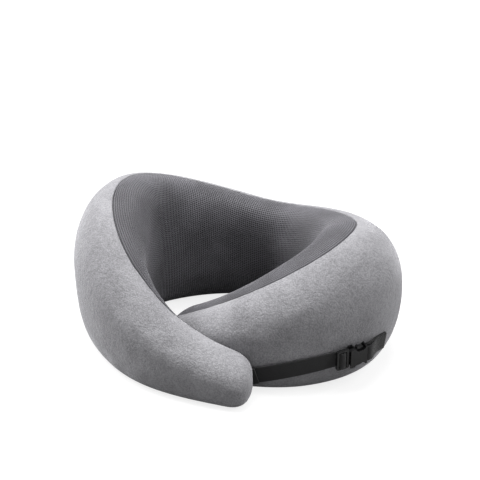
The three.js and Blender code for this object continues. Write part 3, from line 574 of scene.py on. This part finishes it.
def swell_cover():
    """Cloth simulation of the filled cover, held at its seams, under the strap and where it stands.

    It returns how far each panel swells out of its starting shape,
    on an even grid of arc and of distance round the section.
    """
    arcs = np.linspace(SIM_END, TOTAL_ARC - SIM_END, SIM_ROWS)
    upper, lower, _ = panel_angles(arcs)
    share = {"plush": np.linspace(0, 1, SIM_PLUSH), "mesh": np.linspace(0, 1, SIM_MESH)}

    def even(start, end, parts):
        dense = start[:, None] + (end - start)[:, None] * np.linspace(0, 1, DENSE_ANGLES)
        steps = np.linalg.norm(np.diff(surface(arcs[:, None], dense), axis=1), axis=2)
        lengths = np.concatenate([np.zeros((SIM_ROWS, 1)), np.cumsum(steps, axis=1)], axis=1)
        return np.stack([np.interp(parts * l[-1], l, a) if l[-1] > 0 else np.full(len(parts), a[0])
                         for l, a in zip(lengths, dense)])

    plush = even(lower - 360, upper, share["plush"])
    mesh = even(upper, np.maximum(lower, upper + 0.01), share["mesh"])
    angles = np.concatenate([plush[:, :-1], mesh[:, :-1]], axis=1)
    columns = angles.shape[1]
    points = surface(arcs[:, None], angles, START_INSET)
    normals = surface_normal(arcs[:, None] + 0 * angles, angles)
    faces = grid_faces(SIM_ROWS, columns, wrap=True).tolist()
    ends = [surface(0.0, 0.0, START_INSET), surface(TOTAL_ARC, 0.0, START_INSET)]
    first = SIM_ROWS * columns
    for end, row in ((0, 0), (1, SIM_ROWS - 1)):
        base = row * columns
        faces += [[first + end, base + j, base + (j + 1) % columns] for j in range(columns)]
    verts = np.concatenate([points.reshape(-1, 3), np.array(ends)])
    mesh_data = bpy.data.meshes.new("swell")
    mesh_data.from_pydata((verts * MM).tolist(), [], faces)
    bm = bmesh.new()
    bm.from_mesh(mesh_data)
    bmesh.ops.recalc_face_normals(bm, faces=bm.faces)
    bm.to_mesh(mesh_data)
    bm.free()
    cover = bpy.data.objects.new("swell", mesh_data)
    bpy.context.scene.collection.objects.link(cover)
    held = np.zeros((SIM_ROWS, columns), bool)
    held[:, [0, SIM_PLUSH - 1]] = True
    held |= points[..., 2] < START_INSET + 0.4
    stations = station_at(arcs)[:, None]
    from_strap = np.abs(points[..., 2] - strap_height(stations))
    outside = np.cos(np.radians(angles)) > 0.2
    held |= (from_strap < HOLD_REACH) & outside & (np.abs(stations - HOLD_STATION) < HOLD_STATIONS)
    pin = cover.vertex_groups.new(name="pin")
    pin.add([int(i) for i in np.flatnonzero(held.ravel())], 1.0, "REPLACE")
    cloth = cover.modifiers.new("cloth", "CLOTH")
    cloth.settings.quality = 6
    cloth.settings.mass = 0.25
    cloth.settings.tension_stiffness = 14
    cloth.settings.compression_stiffness = 14
    cloth.settings.shear_stiffness = 6
    cloth.settings.bending_stiffness = 0.6
    cloth.settings.shrink_min = -0.012
    cloth.settings.use_pressure = True
    cloth.settings.uniform_pressure_force = 4
    cloth.settings.vertex_group_mass = "pin"
    cloth.settings.effector_weights.gravity = 0
    cloth.collision_settings.use_collision = False
    scene = bpy.context.scene
    for step in range(1, SIM_FRAMES + 1):
        scene.frame_set(step)
    result = cover.evaluated_get(bpy.context.evaluated_depsgraph_get()).to_mesh()
    moved = np.zeros(len(result.vertices) * 3)
    result.vertices.foreach_get("co", moved)
    scene.frame_set(1)
    moved = moved.reshape(-1, 3)[:first] / MM
    swell = np.sum((moved - points.reshape(-1, 3)) * normals.reshape(-1, 3), axis=1)
    swell = swell.reshape(SIM_ROWS, columns)
    bpy.data.objects.remove(cover)
    plush_swell = swell[:, :SIM_PLUSH]
    mesh_swell = np.concatenate([swell[:, SIM_PLUSH - 1:], swell[:, :1]], axis=1)
    return {"plush": plush_swell, "mesh": mesh_swell}


# The swelling kept from the simulation, in millimetres, its usual value, and its samples round a panel.
MIN_SWELL, MAX_SWELL, MEAN_SWELL, SWELL_SAMPLES = -0.3, 1.7, 1.2, 241
SWELL = swell_cover()


def swell_at(panel, arcs, parts):
    """The simulated swelling at rows of arcs and an even share round the panel, capped."""
    if SWELL is None:
        held = np.minimum(parts, 1 - parts) / 0.12
        return 1.5 * smooth(held, 0, 1)
    field = np.clip(SWELL[panel], MIN_SWELL, MAX_SWELL)
    if panel == "mesh":
        field = sum(np.roll(field, shift, axis=0) for shift in range(-3, 4)) / 7
    rows = cubic_weights(np.clip((arcs - SIM_END) / (TOTAL_ARC - 2 * SIM_END), 0, 1), SIM_ROWS)
    columns = np.linspace(0, 1, SWELL_SAMPLES)
    even = rows @ field @ cubic_weights(columns, field.shape[1]).T
    return np.stack([np.interp(p, columns, e) for p, e in zip(parts, even)])


def zip_place(points):
    """Angle round the zip's axis in degrees, height above the zip's middle, and radius."""
    local = points + BASE_MIDDLE - np.array([0, ZIP_CENTRE_Y, 0])
    angle = np.degrees(np.arctan2(-local[..., 0], local[..., 1]))
    radius = np.hypot(local[..., 0], local[..., 1])
    return angle, points[..., 2] - ZIP_HEIGHT, radius


def cover_panel(name, side, kind):
    """One side of the plush or of the mesh panel, as a closed layer with rolled edges at its seams."""
    arcs = ROWS[side]
    if kind == "mesh":
        arcs = arcs[TOTAL_ARC - arcs >= PANEL_POINT - 1e-6]
    upper, lower, opening = panel_angles(arcs)
    if kind == "plush":
        start, end, columns = lower - 360, upper, PLUSH_COLUMNS
        roll, roll_depth, base, lift = 1.3, 1.1, -0.25, 0.6
    else:
        start, end, columns = upper + SEAM_GAP_ANGLE, lower - SEAM_GAP_ANGLE, MESH_COLUMNS
        roll, roll_depth, base, lift = 1.0, 0.9, 0.8, 0.2
    angles, distance, total = section_grid(arcs, start, end, columns)
    base_points = surface(arcs[:, None], angles)
    normals = surface_normal(arcs[:, None] + 0 * angles, angles)
    whole = np.maximum(total, 1e-6)[:, None]
    from_seam = np.minimum(distance, whole - distance)
    depth = (MEAN_SWELL - swell_at(kind, arcs, distance / whole)) * 0.5 + base * np.exp(-from_seam / 7)
    turn = np.clip(1 - from_seam / roll, 0, 1)
    depth = depth + roll_depth * (1 - np.sqrt(1 - turn**2))
    far_seam = 40 * (distance > whole / 2)
    pucker = noise(np.stack(np.broadcast_arrays(arcs[:, None] * 1.0, far_seam, 0.0), -1), 5.5)
    depth = depth + 0.22 * pucker * np.exp(-from_seam / 3.5)
    wave = 0.5 * noise(base_points, 34) + 0.22 * noise(base_points, 13)
    depth = depth + wave * smooth(from_seam, 0, 14)
    angle, height, radius = zip_place(base_points)
    back = (np.abs(angle) < 2 * ZIP_HALF_ANGLE) & (radius > 150) & (kind == "plush")
    beside_zip = smooth(-np.abs(height), -20, -11) * smooth(-np.abs(angle), -30, -24) * back
    depth = (depth - lift * smooth(from_seam, 0, 10)) * (1 - beside_zip)
    trench = smooth(-np.abs(height), -8.2, -5.8) * smooth(-np.abs(angle), -22.2, -20.8)
    depth = np.where(back, depth * (1 - trench) + TRENCH_DEPTH * trench, depth)
    from_tip = np.minimum(arcs, TOTAL_ARC - arcs)[:, None]
    depth = depth * smooth(base_points[..., 2], 0.0, 5.0) * smooth(from_tip, 0.0, 3.0)
    outer = base_points - normals * depth[..., None]
    outer[..., 2] = np.maximum(outer[..., 2], 0)
    inner = surface(arcs[:, None], angles, COVER_THICKNESS + 0.4)
    rows, cols = angles.shape
    steps = np.linalg.norm(np.diff(base_points, axis=0), axis=2)
    lengthwise = np.concatenate([np.zeros((1, cols)), np.cumsum(steps, axis=0)])
    lengthwise = lengthwise[-1] - lengthwise
    uv = np.stack([lengthwise * (-1 if side == "left" else 1), distance], -1)
    count = rows * cols
    faces = grid_faces(rows, cols).tolist() + [f[::-1] for f in grid_faces(rows, cols, count).tolist()]
    for i in range(rows - 1):
        if kind == "plush" and opening[i] <= 0 and opening[i + 1] <= 0:
            continue
        a, b = i * cols, (i + 1) * cols
        faces.append([a, b, b + count, a + count])
        a, b = a + cols - 1, b + cols - 1
        faces.append([a, a + count, b + count, b])
    ends = [rows - 1] if kind == "plush" else [0, rows - 1]
    for i in ends:
        for j in range(cols - 1):
            a = i * cols + j
            faces.append([a, a + 1, a + 1 + count, a + count])
    points = np.concatenate([outer.reshape(-1, 3), inner.reshape(-1, 3)])
    material = VELOUR if kind == "plush" else SPACER_MESH
    return make_mesh(name, points, faces, np.concatenate([uv.reshape(-1, 2)] * 2), material)


# One plush cover and one mesh panel for each side, in place of the CAD's covers, foam cores and liners, which
# are hidden.
for side, sign in (("left", -1), ("right", 1)):
    for kind in ("plush", "mesh"):
        label = {"plush": "plush_cover", "mesh": "mesh_panel"}[kind]
        piece = cover_panel(f"{side}_{label}_cloth", side, kind)
        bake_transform(piece)
        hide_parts(f"{label}_{side}", f"{label}_back")
        if kind == "plush":
            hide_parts(f"foam_core_{side}", f"inner_liner_{side}",
                        "foam_core_back", "inner_liner_back")


# ---- Zip ----
def on_zip(angle, across, lift):
    """A point near the zip: angle along it in degrees, millimetres up across it, and lift from its tapes."""
    a = np.radians(90 + np.asarray(angle, float))
    z = ZIP_HEIGHT + np.asarray(across, float)
    radius = ZIP_RADIUS - ZIP_RECESS + 0.3 + ZIP_LEAN * np.asarray(across, float) + np.asarray(lift, float)
    x, y, z = np.broadcast_arrays(radius * np.cos(a), ZIP_CENTRE_Y + radius * np.sin(a), z)
    return np.stack([x, y, z], -1) - BASE_MIDDLE


def zip_strip(name, side, inner, outer, low, high, material, bulge=0.0, steps=90, reach=21.0):
    """A strip along the zip between two distances across it, with rounded edges and an optional crown."""
    angles = np.linspace(-reach, reach, steps)
    turn = np.linspace(0, 2 * np.pi, 20, endpoint=False)
    middle, half = (inner + outer) / 2, (outer - inner) / 2
    across = middle + half * np.sign(np.cos(turn)) * np.abs(np.cos(turn)) ** 0.55
    lift = (low + high) / 2 + (high - low) / 2 * np.sign(np.sin(turn)) * np.abs(np.sin(turn)) ** 0.7
    lift = lift + bulge * np.maximum(np.sin(turn), 0) ** 2
    rings = on_zip(angles[:, None], side * across[None], lift[None])
    uv = np.stack(np.broadcast_arrays(np.radians(angles)[:, None] * ZIP_RADIUS, across[None]), -1)
    return sweep(name, rings, uv, material)


for name, side in (("upper", 1), ("lower", -1)):
    tape = zip_strip(f"zip_tape_{name}_cloth", side, 1.7, 8.2, 0.0, 0.7, ZIP_TAPE)
    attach(tape, "back")
    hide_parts(f"zip_tape_{name}")
    welt = zip_strip(f"zip_welt_{name}", side, 4.3, 10.4, 0.1, 2.0, VELOUR, 0.35)
    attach(welt, "back")
    angles = np.linspace(-20.5, 20.5, 120)
    line = on_zip(angles, side * 6.6, 2.32)
    stitches = stitched(f"zip_topstitch_{name}", [(line, line - on_zip(angles, side * 6.6, 0))], GREY_THREAD)
    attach(stitches, "back")

# Two nylon spirals whose loops mesh in the middle.
COIL_PITCH = 1.35
coil_length = 2 * math.radians(ZIP_HALF_ANGLE) * ZIP_RADIUS
turns = int(coil_length / COIL_PITCH)
for name, side in (("upper", 1), ("lower", -1)):
    phase = np.linspace(0, 2 * np.pi * turns, turns * 12 + 1)
    along = np.linspace(-ZIP_HALF_ANGLE, ZIP_HALF_ANGLE, len(phase))
    along = along + side * 0.25 * math.degrees(COIL_PITCH / ZIP_RADIUS)
    centre = on_zip(along, side * 0.5 + 0.95 * np.cos(phase), 0.85 + 0.5 * np.sin(phase))
    tangent = np.gradient(centre, axis=0)
    tangent /= np.linalg.norm(tangent, axis=1, keepdims=True)
    sideways = np.cross(tangent, on_zip(along, 0, 10) - on_zip(along, 0, 0))
    sideways /= np.linalg.norm(sideways, axis=1, keepdims=True)
    lift = np.cross(sideways, tangent)
    turn = np.linspace(0, 2 * np.pi, 6, endpoint=False)
    rings = centre[:, None] + 0.27 * (sideways[:, None] * np.cos(turn)[None, :, None]
                                      + lift[:, None] * np.sin(turn)[None, :, None])
    uv = np.stack(np.broadcast_arrays(phase[:, None], turn[None]), -1)
    coil = sweep(f"zip_coil_{name}_spiral", rings, uv, COIL_NYLON)
    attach(coil, "back")
    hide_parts("zip_coil")


# ---- Strap ----
def unit(vector):
    return vector / np.linalg.norm(vector)


# The buckle's frame: x from the strap towards the socket, y towards the pillow, z across the strap.
_t, _h = BUCKLE_STATION, strap_height(BUCKLE_STATION)
BUCKLE_ORIGIN = outer_point(_t, _h, BUCKLE_STANDOFF)
_before, _after = (outer_point(t, strap_height(t), 0) for t in (_t - 0.12, _t + 0.12))
_rise = outer_point(_t, _h + WEBBING_WIDTH / 2, 0) - outer_point(_t, _h - WEBBING_WIDTH / 2, 0)
BUCKLE_X = unit(_after - _before)
BUCKLE_Y = unit(np.cross(_rise, BUCKLE_X))
BUCKLE_Z = np.cross(BUCKLE_X, BUCKLE_Y)


def in_buckle(x, y, z=0.0):
    x, y, z = (np.asarray(v, float)[..., None] for v in (x, y, z))
    return BUCKLE_ORIGIN + BUCKLE_X * x + BUCKLE_Y * y + BUCKLE_Z * z


def to_buckle(point):
    local = point - BUCKLE_ORIGIN
    return np.array([local @ BUCKLE_X, local @ BUCKLE_Y, local @ BUCKLE_Z])


def rounded(points, radius_steps=5, reach=0.45):
    """A polyline in the plane with its corners cut round, as points at small steps."""
    points = np.asarray(points, float)
    out = [points[0]]
    for before, corner, after in zip(points[:-2], points[1:-1], points[2:]):
        a = corner + (before - corner) * reach
        b = corner + (after - corner) * reach
        for s in np.linspace(0, 1, radius_steps):
            out.append((1 - s) ** 2 * a + 2 * s * (1 - s) * corner + s**2 * b)
    out.append(points[-1])
    return np.array(out)


strap_t = np.linspace(STRAP_START, BUCKLE_STATION - 0.27, 46)
strap_mid = strap_height(strap_t)
strap_centre = outer_point(strap_t, strap_mid, 1.75)
strap_across = (outer_point(strap_t, strap_mid + WEBBING_WIDTH / 2, 0)
                - outer_point(strap_t, strap_mid - WEBBING_WIDTH / 2, 0))
joint_x = to_buckle(strap_centre[-1])
# Under the first bar, up through the first slot, over the middle bar, down the second slot and back.
fold = rounded([[joint_x[0], joint_x[1]], [-9.2, 2.75], [-8.35, 0.0], [-8.0, -2.3], [-4.2, -2.3],
                [-3.9, 0.0], [-4.1, 2.7], [-7.3, 2.7]], 6)
fold_z = np.interp(fold[:, 0], [joint_x[0], -9], [joint_x[2], 0])
centre = np.concatenate([strap_centre[:-1], in_buckle(fold[:, 0], fold[:, 1], fold_z)])
across = np.concatenate([strap_across[:-1], np.broadcast_to(BUCKLE_Z * WEBBING_WIDTH, (len(fold), 3))])
strap = ribbon("strap_ribbon", centre, across, WEBBING_WIDTH, WEBBING_THICKNESS, WEBBING)
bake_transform(strap)
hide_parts("strap_webbing", "strap_fold")

hem_t = np.linspace(1.2, 1.36, 12)
hem_mid = strap_height(hem_t)
hem_across = outer_point(hem_t, hem_mid + 8, 0) - outer_point(hem_t, hem_mid - 8, 0)
hem = ribbon("strap_hem_cloth", outer_point(hem_t, hem_mid, 3.1), hem_across,
             WEBBING_WIDTH, WEBBING_THICKNESS, WEBBING)
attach(hem, "left_arm")
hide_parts("strap_sewn_hem")

# ---- Anchor: webbing round the socket's bar, sewn flat on the right arm ----
feet = [to_buckle(outer_point(t, strap_height(t), PATCH_STANDOFF)) for t in PATCH_STATIONS]
near, far = feet
half = WEBBING_THICKNESS / 2
bar = SOCKET_LENGTH - 0.8
loop = rounded([[far[0] + 0.8, far[1] - 3 * half - 0.25], [near[0], near[1] - 3 * half - 0.25],
                [bar + 2.6, -2.35], [bar - 2.2, -2.2], [bar - 2.2, 2.2], [bar + 2.6, 2.3],
                [near[0], near[1] - half], [far[0] + 0.8, far[1] - half]], 6)
loop_z = np.interp(loop[:, 0], [bar + 2.6, far[0]], [0, far[2]])
anchor = ribbon("anchor_webbing_cloth", in_buckle(loop[:, 0], loop[:, 1], loop_z),
                np.broadcast_to(BUCKLE_Z, (len(loop), 3)), WEBBING_WIDTH, WEBBING_THICKNESS, WEBBING)
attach(anchor, "right_arm")
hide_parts("anchor_webbing")

top = -4 * half - 0.22
patch_z = far[2]
corners = []
for part, z in ((0.08, -6.2), (0.98, -6.2), (0.98, 6.2), (0.08, 6.2)):
    x, y, _ = near + (far - near) * part
    corners.append(in_buckle(x, y + top, z + patch_z * part))
out = -BUCKLE_Y
lines = []
for a, b in ((0, 1), (1, 2), (2, 3), (3, 0), (0, 2), (1, 3)):
    line = np.linspace(corners[a], corners[b], 12)
    lines.append((line, np.broadcast_to(out, line.shape)))
box_stitch = stitched("anchor_box_stitch", lines, BLACK_THREAD, stitch=1.5, gap=0.35, radius=0.26)
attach(box_stitch, "right_arm")
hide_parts("anchor_stitching")


# ---- Hard parts: the CAD solids, with moulded edges ----
def finish_solid(node, material, width, segments=3):
    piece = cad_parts[node]
    for slot in piece.material_slots:
        slot.material = material
    weld = piece.modifiers.new("weld", "WELD")
    weld.merge_threshold = 1e-6
    bevel = piece.modifiers.new("moulded_edges", "BEVEL")
    bevel.width = width * MM
    bevel.segments = segments
    bevel.limit_method = "ANGLE"
    bevel.angle_limit = math.radians(35)
    bevel.harden_normals = True


for node in ("buckle_plug", "prong_upper", "prong_lower", "buckle_socket"):
    finish_solid(node, PLASTIC, 0.32)
for node in ("zip_slider", "zip_pull_tab", "zip_top_stop", "zip_bottom_stop"):
    finish_solid(node, METAL, 0.18, 2)


# ---- Studio: pale floor, soft light and the camera ----
def studio():
    scene = bpy.context.scene
    scene.view_settings.view_transform = "Standard"
    f = Finish("floor")
    seen = f.node("LightPath").outputs["Is Camera Ray"]
    paper = f.node("BsdfDiffuse", {"Color": grey(0.26, 1.0)})
    glow = f.node("Emission", {"Color": (1, 1, 1, 1), "Strength": f.math("MULTIPLY", seen, 0.8)})
    both = f.node("AddShader", {0: paper.outputs[0], 1: glow.outputs[0]})
    f.node("OutputMaterial", {"Surface": both.outputs[0]})
    reach = 8.0
    mesh = bpy.data.meshes.new("floor")
    corners = [(-reach, -reach, 0), (reach, -reach, 0), (reach, reach, 0), (-reach, reach, 0)]
    mesh.from_pydata(corners, [], [(0, 1, 2, 3)])
    mesh.materials.append(f.material)
    floor = bpy.data.objects.new("floor", mesh)
    floor.location.z = -0.0004
    scene.collection.objects.link(floor)

    world = bpy.data.worlds.new("studio")
    world.use_nodes = True
    tree = world.node_tree
    background = tree.nodes["Background"]
    path = tree.nodes.new("ShaderNodeLightPath")
    strength = tree.nodes.new("ShaderNodeMapRange")
    strength.inputs["To Min"].default_value = 0.32
    strength.inputs["To Max"].default_value = 1.05
    tree.links.new(path.outputs["Is Camera Ray"], strength.inputs["Value"])
    tree.links.new(strength.outputs["Result"], background.inputs["Strength"])
    background.inputs["Color"].default_value = (1, 1, 1, 1)
    scene.world = world

    lamps = (
        ("top", (-0.15, 0.2, 1.5), 1.2, 28),
        ("key", (-1.3, -0.15, 1.15), 0.8, 25),
        ("side", (1.1, 0.1, 1.2), 0.8, 11),
    )
    for name, place_at, size, power in lamps:
        lamp = bpy.data.lights.new(name, "AREA")
        lamp.shape, lamp.size, lamp.energy = "DISK", size, power
        light = bpy.data.objects.new(name, lamp)
        light.location = place_at
        light.rotation_euler = (Vector((0, 0, 0.06)) - Vector(place_at)).to_track_quat("-Z", "Y").to_euler()
        scene.collection.objects.link(light)


CAMERA_AZIMUTH, CAMERA_ELEVATION, CAMERA_DISTANCE, CAMERA_LENS = 23.05, 26.92, 1.2912, 109.73
CAMERA_MIDDLE = Vector((0.00177, 0.001029, 0.065))
AIM_RIGHT, AIM_UP = 0.0042, 0.02804


def camera():
    a, e = math.radians(CAMERA_AZIMUTH), math.radians(CAMERA_ELEVATION)
    back = Vector((math.sin(a) * math.cos(e), -math.cos(a) * math.cos(e), math.sin(e)))
    right = Vector((math.cos(a), math.sin(a), 0))
    up = back.cross(right)
    data = bpy.data.cameras.new("camera")
    data.lens, data.sensor_width = CAMERA_LENS, 36
    data.clip_start, data.clip_end = 0.05, 60
    view = bpy.data.objects.new("camera", data)
    view.location = CAMERA_MIDDLE + back * CAMERA_DISTANCE
    aim = CAMERA_MIDDLE + right * AIM_RIGHT + up * AIM_UP
    view.rotation_euler = (aim - view.location).to_track_quat("-Z", "Y").to_euler()
    bpy.context.scene.collection.objects.link(view)
    bpy.context.scene.camera = view


studio()
camera()
